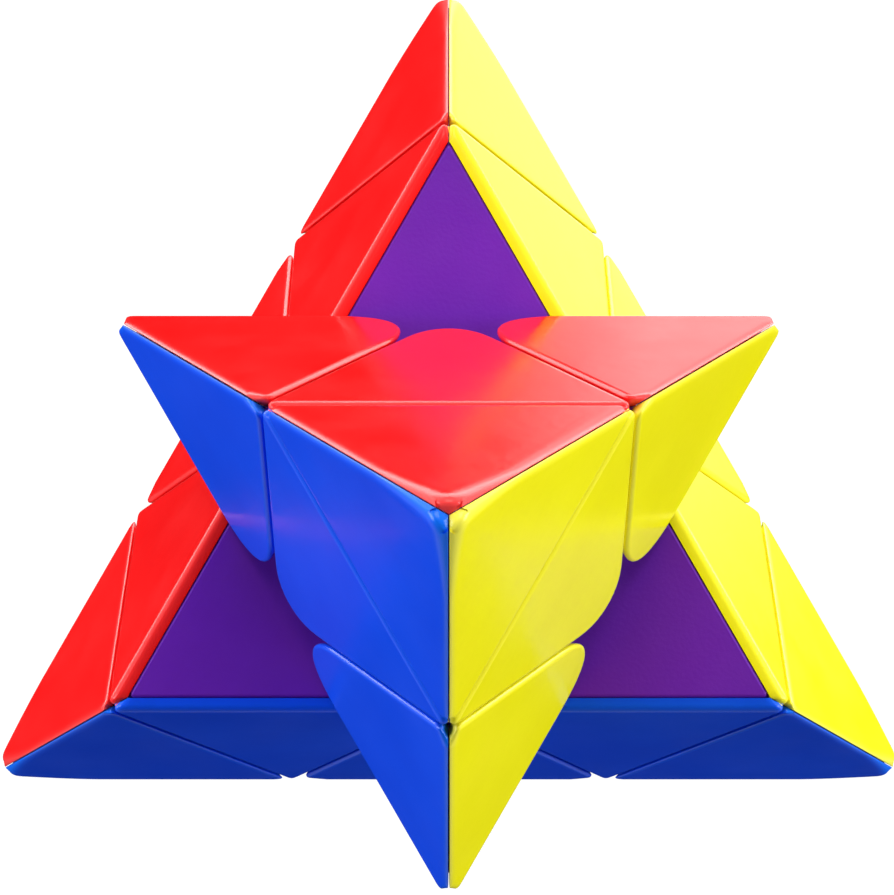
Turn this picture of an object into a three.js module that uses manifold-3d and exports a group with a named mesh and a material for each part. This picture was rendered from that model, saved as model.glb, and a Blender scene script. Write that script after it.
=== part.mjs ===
// A pyramid twisty puzzle: a rounded tetrahedron cut into four turning tips, four centre pieces and six
// edge pieces around a four-armed core. Each piece is a hollow inner body with one coloured cap for each
// outer face. Millimetres, +Z up, origin at the middle of the core, where the four turning axes cross.
// The puzzle stands on its green face, with the top layer stopped half way through a turn.
import * as THREE from "three";
import { ConvexGeometry } from "three/addons/geometries/ConvexGeometry.js";
import { mergeVertices } from "three/addons/utils/BufferGeometryUtils.js";
import Module from "manifold-3d";

// Driving dimensions of the outer shape
const EDGE = 103; // edge of the tetrahedron between its sharp corners, before they are rounded
const RIDGE_RADIUS = 1.8; // rounding of the ridges and corners
const RIDGE_STEPS = 3; // facets round a ridge
const PIECE_GAP = 0.3; // slot between neighbouring pieces
const TOP_LAYER_TURN = -60; // degrees from solved, seen from above

// Caps
const CAP_THICKNESS = 1.2;
const CAP_CLEARANCE = 0.1; // between a cap and the body behind it
const SEAM_GAP = 0.2; // between two caps that meet on a ridge
const CENTRE_CORNER_RADIUS = 4.3; // centre caps, at the middle of a face
const EDGE_CORNER_RADIUS = 5.5; // edge caps, at the middle of a face
const LUG_RADIUS = 2.9; // triangular lug that plugs a cap into its body
const LUG_LENGTH = 2.4;
const LUG_CLEARANCE = 0.15;

// Hollow bodies
const WALL = 1.8;
const POCKET_EXTRA = 0.2; // how far a lug's pocket runs past the wall

// Ball track that holds the edge pieces
const NECK_DEPTH = 1.2; // how far an edge piece's inner ridge dips into its foot
const FOOT_THICKNESS = 3;
const TRACK_CLEARANCE = 0.35;
const FOOT_TO_STEM = 0.6;
const BALL_SEGMENTS = 24;

// Core and stems, all measured along a turning axis from the middle of the core
const CORE_RADIUS = 7.6;
const ARM_RADIUS = 3.6;
const ARM_END = 9.1;
const STEM_GAP = 0.3; // between an arm's end and the stem that turns on it
const STEM_WALL = 1.9;
const STEM_FLOOR = 2;
const TUBE_WALL = 1.8;

// Screw and spring
const SCREW_RADIUS = 1.25;
const THREAD_CLEARANCE = 0.1;
const SCREW_POINT = 3.2;
const SHANK_CLEARANCE = 0.3;
const HEAD_RADIUS = 2.7;
const HEAD_HEIGHT = 2.3;
const RECESS_WIDTH = 0.8;
const RECESS_LENGTH = 3;
const RECESS_DEPTH = 1.3;
const SPRING_RADIUS = 2.15; // to the middle of the wire
const WIRE_RADIUS = 0.36;
const SPRING_TURNS = 5;
const STEPS_PER_TURN = 8;
const WIRE_SIDES = 4;
const BORE_CLEARANCE = 0.4; // around the spring and the screw's head
const END_CLEARANCE = 0.3; // at each end of the spring, the screw and the peg

// Snap peg of a tip
const PEG_RADIUS = 3.9;
const PEG_WALL = 1.4;
const PEG_LENGTH = 9.5;
const PEG_TO_HEAD = 1; // from the peg's end to the head of the screw under it
const PEG_CLEARANCE = 0.3;
const BEAD_HEIGHT = 0.55;
const BEAD_WIDTH = 1.2;
const BEAD_FROM_END = 1.8;

const ROUND_SEGMENTS = 16;
const SCREW_SEGMENTS = 12;
const ARC_SEGMENTS = 6; // round the rounded corner of a cap

const TILT = Math.acos(-1 / 3); // between two turning axes

// Planes of the puzzle, as distances from the middle of the core along a turning axis
const HEIGHT = EDGE * Math.sqrt(2 / 3);
const CORNER = (3 * HEIGHT) / 4;
const FACE = HEIGHT / 4; // from the middle out to a face, away from the corner
const TIP_CUT = (5 * HEIGHT) / 12;
const LAYER_CUT = HEIGHT / 12;
const HALF_GAP = PIECE_GAP / 2;
const SIDE = EDGE / 3; // side of one small triangle

// Ways from a piece's sharp corner at the middle of a face, for each unit of its caps' corner radius
const CHORD_SETBACK = 1.5; // along the face, to the chord between the two ends of the rounding
const CENTRE_SETBACK = CHORD_SETBACK * Math.sqrt(2 / 3); // the same towards the centre piece's middle
const EDGE_SETBACK = CHORD_SETBACK * Math.sin(TILT); // the same towards the edge piece's middle

// Along an axis, from the core outwards: the stem's floor, the spring, the screw's head and the tip's peg.
// The spring fills what the others leave.
const STEM_START = ARM_END + STEM_GAP;
const FLOOR_TOP = STEM_START + STEM_FLOOR;
const SPRING_START = FLOOR_TOP + END_CLEARANCE;
const PEG_END = TIP_CUT - PEG_LENGTH;
const SOCKET_FLOOR = PEG_END - END_CLEARANCE;
const HEAD_START = PEG_END - PEG_TO_HEAD - HEAD_HEIGHT;
const SPRING_LENGTH = HEAD_START - END_CLEARANCE - SPRING_START;
const SPRING_BORE_RADIUS = Math.max(SPRING_RADIUS + WIRE_RADIUS, HEAD_RADIUS) + BORE_CLEARANCE;
const STEM_RADIUS = SPRING_BORE_RADIUS + STEM_WALL;

// The ball track starts from the inner ridges of the edge pieces, and its feet stop short of the stems
const INNER_RIDGE = (LAYER_CUT + HALF_GAP) * Math.sqrt(3);
const FOOT_OUTER_RADIUS = INNER_RIDGE + NECK_DEPTH;
const FOOT_INNER_RADIUS = FOOT_OUTER_RADIUS - FOOT_THICKNESS;
const SOCKET_RADIUS = FOOT_OUTER_RADIUS + TRACK_CLEARANCE;
const FOOT_CUT = STEM_RADIUS * Math.sin(TILT) + STEM_START * Math.cos(TILT) + FOOT_TO_STEM;

// The four corners, the direction to each, and the colour of the face across from each
const CORNERS = ["top", "rear", "left", "right"];
const AXES = [[0, 0], [TILT, 90], [TILT, 210], [TILT, 330]].map(([tilt, azimuth]) => {
  const a = THREE.MathUtils.degToRad(azimuth);
  return new THREE.Vector3(Math.sin(tilt) * Math.cos(a), Math.sin(tilt) * Math.sin(a), Math.cos(tilt));
});
const FACE_COLOURS = ["green", "blue", "yellow", "red"];
const [TOP, REAR, LEFT, RIGHT] = AXES;
const AXIS_TO_AXIS = TOP.distanceTo(REAR); // length of the difference of two axis directions

const plastic = (color) => new THREE.MeshStandardMaterial({ color, roughness: 0.25, metalness: 0 });
const MATERIALS = {
  green: plastic(0x12a148),
  blue: plastic(0x1a3fd6),
  yellow: plastic(0xf5ee1e),
  red: plastic(0xf01818),
  body: plastic(0x5a2296),
  core: plastic(0x2b2b30),
  steel: new THREE.MeshStandardMaterial({ color: 0xb8bcc2, roughness: 0.3, metalness: 1 }),
};

const wasm = await Module();
wasm.setup();

/** A closed three.js geometry as a manifold-3d solid. */
function solid(geometry) {
  const bare = geometry.clone();
  for (const name of Object.keys(bare.attributes)) {
    if (name !== "position") bare.deleteAttribute(name);
  }
  const merged = mergeVertices(bare, 1e-4);
  return new wasm.Manifold(new wasm.Mesh({
    numProp: 3,
    vertProperties: new Float32Array(merged.attributes.position.array),
    triVerts: new Uint32Array(merged.index.array),
  }));
}

/** A manifold-3d solid as a three.js geometry. */
function geometryOf(body) {
  const mesh = body.getMesh();
  const geometry = new THREE.BufferGeometry();
  geometry.setAttribute("position", new THREE.BufferAttribute(mesh.vertProperties, 3));
  geometry.setIndex(new THREE.BufferAttribute(mesh.triVerts, 1));
  const flat = geometry.toNonIndexed();
  flat.computeVertexNormals();
  return flat;
}

/** Half-spaces along a turning axis: everything past a distance, or everything before it. */
const above = (axis, distance) => ({ normal: axis.clone().negate(), offset: -distance });
const below = (axis, distance) => ({ normal: axis.clone(), offset: distance });

/** The side of a ridge's mitre that belongs to the face across from `own`, half a seam from the mitre. */
function seam(own, other) {
  const normal = own.clone().sub(other).divideScalar(AXIS_TO_AXIS);
  return { normal, offset: -SEAM_GAP / 2 };
}

/** The convex solid inside a list of half-spaces. */
function convex(planes) {
  const points = [];
  for (let i = 0; i < planes.length; i++) {
    for (let j = i + 1; j < planes.length; j++) {
      for (let k = j + 1; k < planes.length; k++) {
        const [p, q, r] = [planes[i], planes[j], planes[k]];
        const m = new THREE.Matrix3().set(...p.normal.toArray(), ...q.normal.toArray(), ...r.normal.toArray());
        if (Math.abs(m.determinant()) < 1e-6) continue;
        const point = new THREE.Vector3(p.offset, q.offset, r.offset).applyMatrix3(m.invert());
        if (planes.every((plane) => plane.normal.dot(point) <= plane.offset + 1e-6)) points.push(point);
      }
    }
  }
  return solid(new ConvexGeometry(points));
}

/** The whole rounded tetrahedron: the hull of a ball in each corner, with its flats on the four faces. */
function roundedTetrahedron(radius, steps) {
  const points = [];
  AXES.forEach((axis, corner) => {
    const [p, q, r] = AXES.filter((_, i) => i !== corner).map((other) => other.clone().negate());
    const middle = axis.clone().multiplyScalar(CORNER - 3 * radius);
    for (let i = 0; i <= steps; i++) {
      for (let j = 0; j <= steps - i; j++) {
        const direction = p.clone().multiplyScalar(i).addScaledVector(q, j).addScaledVector(r, steps - i - j);
        points.push(direction.setLength(radius).add(middle));
      }
    }
  });
  return solid(new ConvexGeometry(points));
}

/** A solid turned round the +Z axis from a closed [radius, height] outline, anticlockwise. */
function turned(outline, segments = ROUND_SEGMENTS) {
  const lathe = new THREE.LatheGeometry(outline.map(([r, z]) => new THREE.Vector2(r, z)), segments);
  return solid(lathe.rotateX(Math.PI / 2));
}

/** A plain cylinder round the +Z axis. */
const rod = (radius, from, to) => turned([[0, from], [radius, from], [radius, to], [0, to]]);

const ball = (radius) => solid(new THREE.SphereGeometry(radius, BALL_SEGMENTS, BALL_SEGMENTS / 2));

/** The rotation of the puzzle that carries the top axis to `first` and the rear axis to `second`. */
function carry(first, second) {
  const basis = (a, b) => {
    const side = b.clone().addScaledVector(a, -a.dot(b)).normalize();
    return new THREE.Matrix4().makeBasis(a, side, a.clone().cross(side));
  };
  return basis(first, second).multiply(basis(TOP, REAR).transpose());
}

const moved = (body, matrix) => body.transform(matrix.elements);

/** The middle of a small triangle from its three corners. */
const middleOf = (...points) =>
  points.reduce((sum, p) => sum.add(p), new THREE.Vector3()).divideScalar(points.length);

const cornerPoint = (axis) => axis.clone().multiplyScalar(CORNER);
const faceCentre = (axis) => axis.clone().multiplyScalar(-FACE);
/** The point on the ridge from one corner to another, a third of the way along. */
const ridgePoint = (from, to) => cornerPoint(from).lerp(cornerPoint(to), 1 / 3);

/** A frame on the face across from `axis`: x along `towards`, z pointing into the puzzle. */
function faceFrame(axis, origin, towards) {
  const x = towards.clone().sub(origin).normalize();
  const y = axis.clone().cross(x);
  return new THREE.Matrix4().makeBasis(x, y, axis).setPosition(origin);
}

/** A triangular lug, or its pocket, running inwards from under a cap. */
function lug(axis, at, towards, grow, from, to) {
  const prism = new THREE.CylinderGeometry(LUG_RADIUS + 2 * grow, LUG_RADIUS + 2 * grow, to - from, 3);
  prism.rotateX(Math.PI / 2).rotateZ(Math.PI / 2).translate(0, 0, (from + to) / 2);
  return moved(solid(prism), faceFrame(axis, at, towards));
}

/** What rounds off a cap's corner at the middle of a face: the space outside an arc that meets both sides. */
function cornerCutter(axis, towards, radius) {
  const corner = (2 * HALF_GAP) / Math.sin(TILT); // where the two sides of the cap would meet
  const middle = corner + 2 * radius;
  const reach = 3 * radius;
  const [startX, startY] = [middle - radius / 2, radius * Math.sin(Math.PI / 3)];
  const outline = new THREE.Shape();
  outline.moveTo(startX - reach / 2, startY + reach);
  outline.lineTo(startX, startY);
  outline.absarc(middle, 0, radius, (2 * Math.PI) / 3, (4 * Math.PI) / 3, false);
  outline.lineTo(startX - reach / 2, -startY - reach);
  outline.lineTo(-reach, -startY - reach);
  outline.lineTo(-reach, startY + reach);
  const depth = 2 * CAP_THICKNESS;
  const prism = new THREE.ExtrudeGeometry(outline, { depth, bevelEnabled: false, curveSegments: ARC_SEGMENTS });
  prism.translate(0, 0, -CAP_THICKNESS / 2);
  return moved(solid(prism), faceFrame(axis, faceCentre(axis), towards));
}

const envelope = roundedTetrahedron(RIDGE_RADIUS, RIDGE_STEPS);
const capBack = -FACE + CAP_THICKNESS; // where a cap ends, along the axis that points away from its face
const bodyFace = capBack + CAP_CLEARANCE;

/** A cap with its lug: the rounded outer shape between some planes, as thick as a cap. */
function cap(axis, planes, lugAt, towards) {
  const plate = envelope.intersect(convex([...planes, below(axis, capBack), above(axis, -FACE - 1)]));
  return plate.add(lug(axis, lugAt, towards, 0, CAP_THICKNESS / 2, CAP_THICKNESS + LUG_LENGTH));
}

/** The pocket in a body for the lug of a cap. */
const pocket = (axis, lugAt, towards) =>
  lug(axis, lugAt, towards, LUG_CLEARANCE, CAP_THICKNESS, CAP_THICKNESS + CAP_CLEARANCE + WALL + POCKET_EXTRA);

// Places of the lugs on the top tip and top centre, on the face across from the rear corner, and on the
// edge between the top and rear corners, on the face across from the left corner
const tipLug = middleOf(cornerPoint(TOP), ridgePoint(TOP, LEFT), ridgePoint(TOP, RIGHT));
const centreLug = middleOf(faceCentre(REAR), ridgePoint(TOP, LEFT), ridgePoint(TOP, RIGHT));
const edgeLug = middleOf(faceCentre(LEFT), ridgePoint(TOP, REAR), ridgePoint(REAR, TOP));

function tipCap() {
  const planes = [above(TOP, TIP_CUT + HALF_GAP), seam(REAR, LEFT), seam(REAR, RIGHT)];
  return cap(REAR, [...planes, below(TOP, CORNER)], tipLug, cornerPoint(TOP));
}

function centreCap() {
  const planes = [
    below(TOP, TIP_CUT - HALF_GAP),
    above(TOP, LAYER_CUT + HALF_GAP),
    below(LEFT, LAYER_CUT - HALF_GAP),
    below(RIGHT, LAYER_CUT - HALF_GAP),
    seam(REAR, LEFT),
    seam(REAR, RIGHT),
  ];
  const plate = cap(REAR, planes, centreLug, cornerPoint(TOP));
  return plate.subtract(cornerCutter(REAR, cornerPoint(TOP), CENTRE_CORNER_RADIUS));
}

function edgeCap() {
  const planes = [above(TOP, LAYER_CUT + HALF_GAP), above(REAR, LAYER_CUT + HALF_GAP), seam(LEFT, RIGHT)];
  const ridgeMiddle = middleOf(cornerPoint(TOP), cornerPoint(REAR));
  const plate = cap(LEFT, planes, edgeLug, ridgeMiddle);
  return plate.subtract(cornerCutter(LEFT, ridgeMiddle, EDGE_CORNER_RADIUS));
}

/** A hollow tip with the tubular snap peg that turns in its centre piece. */
function tipBody() {
  const shape = (inset) => convex([
    above(TOP, TIP_CUT + HALF_GAP + inset),
    below(TOP, CORNER - 2 * RIDGE_RADIUS - CAP_THICKNESS - inset),
    ...[REAR, LEFT, RIGHT].map((axis) => above(axis, bodyFace + inset)),
  ]);
  const beadStart = PEG_END + BEAD_FROM_END;
  const peg = turned([
    [0, PEG_END],
    [PEG_RADIUS - BEAD_HEIGHT, PEG_END],
    [PEG_RADIUS, beadStart - BEAD_HEIGHT],
    [PEG_RADIUS + BEAD_HEIGHT, beadStart],
    [PEG_RADIUS + BEAD_HEIGHT, beadStart + BEAD_WIDTH],
    [PEG_RADIUS, beadStart + BEAD_WIDTH + BEAD_HEIGHT],
    [PEG_RADIUS, TIP_CUT + WALL],
    [0, TIP_CUT + WALL],
  ]);
  const bore = rod(PEG_RADIUS - PEG_WALL, PEG_END - 1, TIP_CUT + WALL + 1);
  let body = shape(0).add(peg).subtract(shape(WALL)).subtract(bore);
  for (const axis of [REAR, LEFT, RIGHT]) {
    body = body.subtract(moved(pocket(REAR, tipLug, cornerPoint(TOP)), carry(TOP, axis)));
  }
  return body;
}

/** Everything round the turning axis that is cut out of a centre piece: screw hole, spring bore, socket. */
function centreBore() {
  const socketRadius = PEG_RADIUS + PEG_CLEARANCE;
  const grooveStart = PEG_END + BEAD_FROM_END - PEG_CLEARANCE;
  const grooveEnd = grooveStart + BEAD_WIDTH + 2 * PEG_CLEARANCE;
  return turned([
    [0, STEM_START - 1],
    [SCREW_RADIUS + SHANK_CLEARANCE, STEM_START - 1],
    [SCREW_RADIUS + SHANK_CLEARANCE, FLOOR_TOP],
    [SPRING_BORE_RADIUS, FLOOR_TOP],
    [SPRING_BORE_RADIUS, SOCKET_FLOOR],
    [socketRadius, SOCKET_FLOOR],
    [socketRadius, grooveStart - BEAD_HEIGHT],
    [socketRadius + BEAD_HEIGHT, grooveStart],
    [socketRadius + BEAD_HEIGHT, grooveEnd],
    [socketRadius, grooveEnd + BEAD_HEIGHT],
    [socketRadius, TIP_CUT + 1],
    [0, TIP_CUT + 1],
  ]);
}

/** A hollow eight-sided centre piece over the ball track, with the stem that turns on its core arm. */
function centreBody() {
  const middle = TOP.clone().multiplyScalar(FACE);
  const reach = SIDE / Math.SQRT2; // from the middle of the eight-sided shape to its corners
  const cornerCut = CENTRE_SETBACK * CENTRE_CORNER_RADIUS;
  const shape = (inset) => convex([
    below(TOP, TIP_CUT - HALF_GAP - inset),
    above(TOP, LAYER_CUT + HALF_GAP + inset),
    ...[REAR, LEFT, RIGHT].flatMap((axis) => {
      const outwards = faceCentre(axis).sub(middle).normalize();
      const offset = outwards.dot(middle) + reach - cornerCut - inset;
      return [
        above(axis, bodyFace + inset),
        below(axis, LAYER_CUT - HALF_GAP - inset),
        { normal: outwards, offset },
      ];
    }),
  ]);
  const tube = rod(PEG_RADIUS + PEG_CLEARANCE + BEAD_HEIGHT + TUBE_WALL, 0, CORNER);
  const hollow = shape(WALL).subtract(tube).subtract(ball(SOCKET_RADIUS + WALL));
  let body = shape(0).subtract(hollow).subtract(ball(SOCKET_RADIUS));
  body = body.add(rod(STEM_RADIUS, STEM_START, SOCKET_RADIUS + WALL)).subtract(centreBore());
  for (const axis of [REAR, LEFT, RIGHT]) {
    body = body.subtract(moved(pocket(REAR, centreLug, cornerPoint(TOP)), carry(TOP, axis)));
  }
  return body;
}

/** A hollow edge piece with the curved foot that runs in the ball track under two centre pieces. */
function edgeBody() {
  const middle = middleOf(ridgePoint(TOP, REAR), ridgePoint(REAR, TOP), faceCentre(LEFT), faceCentre(RIGHT));
  const cornerCut = EDGE_SETBACK * EDGE_CORNER_RADIUS;
  const shape = (inset) => convex([
    ...[TOP, REAR].map((axis) => above(axis, LAYER_CUT + HALF_GAP + inset)),
    ...[LEFT, RIGHT].flatMap((axis) => {
      const outwards = faceCentre(axis).sub(middle).normalize();
      const offset = outwards.dot(faceCentre(axis)) - cornerCut - inset;
      return [above(axis, bodyFace + inset), { normal: outwards, offset }];
    }),
  ]);
  const track = convex([
    ...[TOP, REAR].map((axis) => above(axis, FOOT_CUT + HALF_GAP)),
    ...[LEFT, RIGHT].map((axis) => below(axis, FOOT_CUT - HALF_GAP)),
    below(middle.clone().normalize(), SOCKET_RADIUS),
  ]);
  const foot = ball(FOOT_OUTER_RADIUS).subtract(ball(FOOT_INNER_RADIUS)).intersect(track);
  let body = shape(0).add(foot).subtract(shape(WALL));
  for (const turn of [carry(TOP, REAR), carry(REAR, TOP)]) {
    body = body.subtract(moved(pocket(LEFT, edgeLug, middleOf(cornerPoint(TOP), cornerPoint(REAR))), turn));
  }
  return body;
}

/** The ball core with its four arms, each with a hole for a screw. */
function core() {
  let body = solid(new THREE.SphereGeometry(CORE_RADIUS, ROUND_SEGMENTS, ROUND_SEGMENTS / 2));
  const arm = rod(ARM_RADIUS, 0, ARM_END);
  const hole = rod(SCREW_RADIUS + THREAD_CLEARANCE, SCREW_POINT - END_CLEARANCE, ARM_END + 1);
  const turns = AXES.map((axis, i) => carry(axis, AXES[(i + 1) % AXES.length]));
  for (const turn of turns) body = body.add(moved(arm, turn));
  for (const turn of turns) body = body.subtract(moved(hole, turn));
  return body;
}

/** A pan-head screw with a cross recess, point towards the core. */
function screw() {
  const point = SCREW_RADIUS / 2;
  const blank = turned([
    [0, SCREW_POINT],
    [point, SCREW_POINT],
    [SCREW_RADIUS, SCREW_POINT + point],
    [SCREW_RADIUS, HEAD_START],
    [HEAD_RADIUS, HEAD_START],
    [HEAD_RADIUS, HEAD_START + HEAD_HEIGHT / 2],
    [HEAD_RADIUS * 0.7, HEAD_START + HEAD_HEIGHT],
    [0, HEAD_START + HEAD_HEIGHT],
  ], SCREW_SEGMENTS);
  const slot = (width, length) => {
    const box = new THREE.BoxGeometry(width, length, 2 * RECESS_DEPTH);
    return solid(box.translate(0, 0, HEAD_START + HEAD_HEIGHT));
  };
  return blank.subtract(slot(RECESS_WIDTH, RECESS_LENGTH).add(slot(RECESS_LENGTH, RECESS_WIDTH)));
}

/** A helix round the +Z axis. */
class Helix extends THREE.Curve {
  getPoint(t, target = new THREE.Vector3()) {
    const angle = 2 * Math.PI * SPRING_TURNS * t;
    const z = SPRING_START + WIRE_RADIUS + (SPRING_LENGTH - 2 * WIRE_RADIUS) * t;
    return target.set(SPRING_RADIUS * Math.cos(angle), SPRING_RADIUS * Math.sin(angle), z);
  }
}

function spring() {
  const section = new THREE.Shape(
    Array.from({ length: WIRE_SIDES }, (_, i) => {
      const angle = (2 * Math.PI * i) / WIRE_SIDES;
      return new THREE.Vector2(WIRE_RADIUS * Math.cos(angle), WIRE_RADIUS * Math.sin(angle));
    }),
  );
  return solid(new THREE.ExtrudeGeometry(section, {
    extrudePath: new Helix(),
    steps: SPRING_TURNS * STEPS_PER_TURN,
    bevelEnabled: false,
  }));
}

const puzzle = new THREE.Group();
const topLayer = new THREE.Group();
topLayer.rotation.z = THREE.MathUtils.degToRad(TOP_LAYER_TURN);
puzzle.add(topLayer);

/** Adds a copy of a piece that was made at the top axis, to the top layer or to the rest. */
function place(group, name, geometry, material, matrix) {
  const mesh = new THREE.Mesh(geometry, material);
  mesh.name = name;
  mesh.quaternion.setFromRotationMatrix(matrix);
  group.add(mesh);
}

const shapes = Object.fromEntries(
  Object.entries({ tipCap, centreCap, edgeCap, tipBody, centreBody, edgeBody, core, screw, spring })
    .map(([name, make]) => [name, geometryOf(make())]),
);
const others = (...used) => [0, 1, 2, 3].filter((i) => !used.includes(i));

place(puzzle, "core", shapes.core, MATERIALS.core, new THREE.Matrix4());
AXES.forEach((axis, i) => {
  const group = i === 0 ? topLayer : puzzle;
  const [firstFace] = others(i);
  const upright = carry(axis, AXES[firstFace]);
  place(group, `tip_${CORNERS[i]}_body`, shapes.tipBody, MATERIALS.body, upright);
  place(group, `centre_${CORNERS[i]}_body`, shapes.centreBody, MATERIALS.body, upright);
  place(puzzle, `screw_${CORNERS[i]}`, shapes.screw, MATERIALS.steel, upright);
  place(puzzle, `spring_${CORNERS[i]}`, shapes.spring, MATERIALS.steel, upright);
  for (const face of others(i)) {
    const colour = FACE_COLOURS[face];
    const turn = carry(axis, AXES[face]);
    place(group, `tip_${CORNERS[i]}_cap_${colour}`, shapes.tipCap, MATERIALS[colour], turn);
    place(group, `centre_${CORNERS[i]}_cap_${colour}`, shapes.centreCap, MATERIALS[colour], turn);
  }
});

/** Whether a rotation carries the left axis to `axis`, which tells the two ways round an edge apart. */
const carriesLeftTo = (turn, axis) => LEFT.clone().applyMatrix4(turn).distanceTo(axis) < 1e-6;

for (const [i, j] of [[0, 1], [0, 2], [0, 3], [1, 2], [2, 3], [3, 1]]) {
  const group = i === 0 ? topLayer : puzzle;
  const name = `edge_${CORNERS[i]}_${CORNERS[j]}`;
  place(group, `${name}_body`, shapes.edgeBody, MATERIALS.body, carry(AXES[i], AXES[j]));
  for (const face of others(i, j)) {
    const turns = [carry(AXES[i], AXES[j]), carry(AXES[j], AXES[i])];
    const turn = turns.find((candidate) => carriesLeftTo(candidate, AXES[face]));
    const colour = FACE_COLOURS[face];
    place(group, `${name}_cap_${colour}`, shapes.edgeCap, MATERIALS[colour], turn);
  }
}

export default puzzle;
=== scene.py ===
"""A pyramid twisty puzzle: gloss caps on purple shells round a sprung core, its top layer half turned."""

import logging
import math
from dataclasses import dataclass, field
from enum import Enum
from functools import partial, reduce
from itertools import combinations
from typing import Callable, Iterable, Sequence

import bmesh
import bpy
from mathutils import Matrix, Vector


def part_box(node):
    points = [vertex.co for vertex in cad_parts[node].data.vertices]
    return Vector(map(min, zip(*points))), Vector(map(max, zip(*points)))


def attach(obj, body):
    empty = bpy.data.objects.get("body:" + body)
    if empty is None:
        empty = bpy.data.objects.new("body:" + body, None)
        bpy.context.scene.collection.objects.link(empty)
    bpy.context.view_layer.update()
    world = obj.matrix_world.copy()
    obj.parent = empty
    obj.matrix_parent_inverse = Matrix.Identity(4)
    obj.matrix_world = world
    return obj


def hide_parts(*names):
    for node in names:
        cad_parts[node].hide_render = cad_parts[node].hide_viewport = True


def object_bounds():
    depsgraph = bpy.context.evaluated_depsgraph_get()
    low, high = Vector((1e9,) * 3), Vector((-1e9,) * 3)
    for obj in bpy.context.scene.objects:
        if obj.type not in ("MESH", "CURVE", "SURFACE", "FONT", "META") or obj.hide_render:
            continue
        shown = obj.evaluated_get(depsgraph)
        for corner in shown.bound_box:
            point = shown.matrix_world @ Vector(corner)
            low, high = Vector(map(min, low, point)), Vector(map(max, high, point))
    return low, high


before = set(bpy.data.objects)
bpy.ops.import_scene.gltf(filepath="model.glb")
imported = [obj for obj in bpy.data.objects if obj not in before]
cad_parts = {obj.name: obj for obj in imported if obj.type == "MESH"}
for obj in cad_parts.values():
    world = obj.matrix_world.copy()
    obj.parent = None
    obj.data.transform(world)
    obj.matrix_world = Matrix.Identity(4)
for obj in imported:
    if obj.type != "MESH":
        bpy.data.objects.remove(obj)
CAD_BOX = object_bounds()

LOG = logging.getLogger("puzzle")
MM = 0.001  # the meshes are shaped in millimetres and handed over in metres
HAIR = 1e-4  # how near to a plane a point counts as on it, in millimetres
OVERCUT = 1.0  # how far a cutting tool runs past what it cuts, in millimetres
SHELL_CUT = 1.5  # how far a shell's corner is cut off, in radii of its cap's rounded corner

# The four turning axes, from the middle of the core to the corners
TILT = math.acos(-1 / 3)


def axis_at(tilt: float, azimuth: float) -> Vector:
    """The unit vector at a tilt from +Z, in radians, and an azimuth from +X, in degrees."""
    turn = math.radians(azimuth)
    return Vector((math.sin(tilt) * math.cos(turn), math.sin(tilt) * math.sin(turn), math.cos(tilt)))


class Corner(Enum):
    """A corner of the solved puzzle, with the colour of the face across from it."""

    TOP = ("top", 0.0, 0.0, "green")
    REAR = ("rear", TILT, 90.0, "blue")
    LEFT = ("left", TILT, 210.0, "yellow")
    RIGHT = ("right", TILT, 330.0, "red")

    @property
    def label(self) -> str:
        """The corner's name in the names of pieces and bodies."""
        return self.value[0]

    @property
    def axis(self) -> Vector:
        """The direction from the core to this corner."""
        return axis_at(self.value[1], self.value[2])

    @property
    def colour(self) -> str:
        """The colour of the face across from this corner."""
        return self.value[3]


TOP, REAR, LEFT, RIGHT = Corner


def others(*used: Corner) -> list[Corner]:
    """The corners that aren't in a list."""
    return [corner for corner in Corner if corner not in used]


@dataclass(frozen=True)
class HalfSpace:
    """The points on the inner side of a plane, where normal . point is at most offset."""

    normal: Vector
    offset: float

    def holds_edge(self, edge: bmesh.types.BMEdge) -> bool:
        """Whether both ends of an edge lie on the plane."""
        return all(self.touches(vert) for vert in edge.verts)

    def touches(self, vert: bmesh.types.BMVert) -> bool:
        """Whether a vertex lies on the plane."""
        return abs(self.normal.dot(vert.co) - self.offset) < HAIR


def above(corner: Corner, distance: float) -> HalfSpace:
    """The half-space past a distance along a corner's axis."""
    return HalfSpace(-corner.axis, -distance)


def below(corner: Corner, distance: float) -> HalfSpace:
    """The half-space before a distance along a corner's axis."""
    return HalfSpace(corner.axis, distance)


def carry(first: Corner, second: Corner) -> Matrix:
    """The rotation that takes the top axis to one corner's axis and the rear axis to another's."""

    def basis(a: Vector, b: Vector) -> Matrix:
        """Three square axes: the first vector, the second made square to it, and their normal."""
        side = (b - a * a.dot(b)).normalized()
        return Matrix((a, side, a.cross(side))).transposed()

    return (basis(first.axis, second.axis) @ basis(TOP.axis, REAR.axis).transposed()).to_4x4()


def upright_at(corner: Corner) -> Matrix:
    """The rotation that stands a shape made on the top axis on another corner's axis."""
    return carry(corner, others(corner)[0])


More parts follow.
